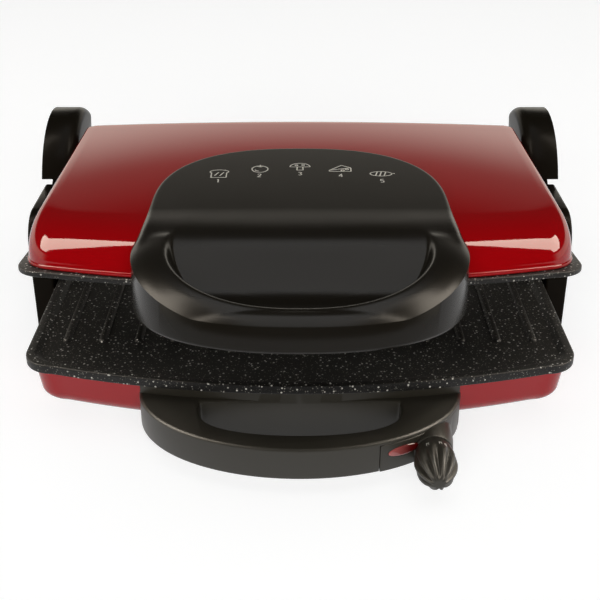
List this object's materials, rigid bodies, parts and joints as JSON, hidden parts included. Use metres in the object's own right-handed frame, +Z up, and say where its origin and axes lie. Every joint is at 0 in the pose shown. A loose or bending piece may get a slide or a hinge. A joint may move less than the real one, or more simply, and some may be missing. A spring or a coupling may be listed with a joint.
{
  "type": "contact grill",
  "caption": "Countertop contact grill: ribbed plates between a drafted base and a sculpted lid that floats and tilts on slotted hinge towers, with a D-shaped handle and a knob.",
  "frame": {"origin": "on the table, under the middle of the whole grill's box", "axes": "+Z up, front with the handles towards -Y, +X to the right as the user faces it"},
  "size_m": [0.387, 0.3666, 0.1341],
  "materials": {
    "lid_enamel": "deep red high-gloss enamel",
    "base_enamel": "red gloss enamel",
    "black_plastic": "warm black satin moulded thermoplastic",
    "hood_plastic": "warm black satin moulded thermoplastic",
    "granite_coating": "black non-stick coating with pale specks on cast metal",
    "steel": "bright zinc-plated steel",
    "cast_metal": "grey die-cast alloy",
    "element_steel": "dull heat-darkened steel tube",
    "aluminium_sheet": "bright rolled aluminium",
    "red_lens": "dark red translucent lens",
    "foot_rubber": "matt black rubber",
    "ceramic": "off-white glazed ceramic"
  },
  "bodies": {
    "base": {"base_shell": "base_enamel", "bottom_cover": "black_plastic", "lower_grill_plate": "granite_coating", "lower_heating_element": "element_steel", "lower_heat_reflector": "aluminium_sheet", "base_handle": "black_plastic", "control_panel": "black_plastic", "control_cover": "black_plastic", "indicator_lens": "red_lens", "neon_lamp": "ceramic", "thermostat_body": "ceramic", "front_foot_left": "foot_rubber", "front_foot_right": "foot_rubber", "rear_foot_left": "foot_rubber", "rear_foot_right": "foot_rubber", "hinge_tower_left": "black_plastic", "hinge_tower_right": "black_plastic", "cord_gland": "black_plastic", "terminal_block": "ceramic", "thermal_fuse": "steel"},
    "carriage": {"hinge_rod": "steel", "slide_bush_left": "black_plastic", "slide_bush_right": "black_plastic"},
    "lid": {"lid_shell": "lid_enamel", "lid_handle": "hood_plastic", "lid_handle_cover": "black_plastic", "upper_grill_plate": "granite_coating", "upper_heating_element": "element_steel", "lid_heat_reflector": "aluminium_sheet", "hinge_arm_left": "cast_metal", "hinge_arm_right": "cast_metal", "hinge_cover_left": "black_plastic", "hinge_cover_right": "black_plastic"},
    "knob": {"control_knob": "black_plastic", "thermostat_shaft": "steel"}
  },
  "joints": [
    {"name": "lid_float", "type": "slide", "parent": "base", "child": "carriage", "axis": [0, 0.2496, 0.9683], "range_m": [-0.02644, 0.0031]},
    {"name": "lid_hinge", "type": "hinge", "parent": "carriage", "child": "lid", "pos_m": [0, 0.1442, 0.07], "axis": [-1, 0, 0], "range_deg": [-7, 98]},
    {"name": "knob_turn", "type": "hinge", "parent": "base", "child": "knob", "pos_m": [0.078, -0.1528, 0.0205], "axis": [0, -1, 0], "range_deg": [0, 270]}
  ]
}
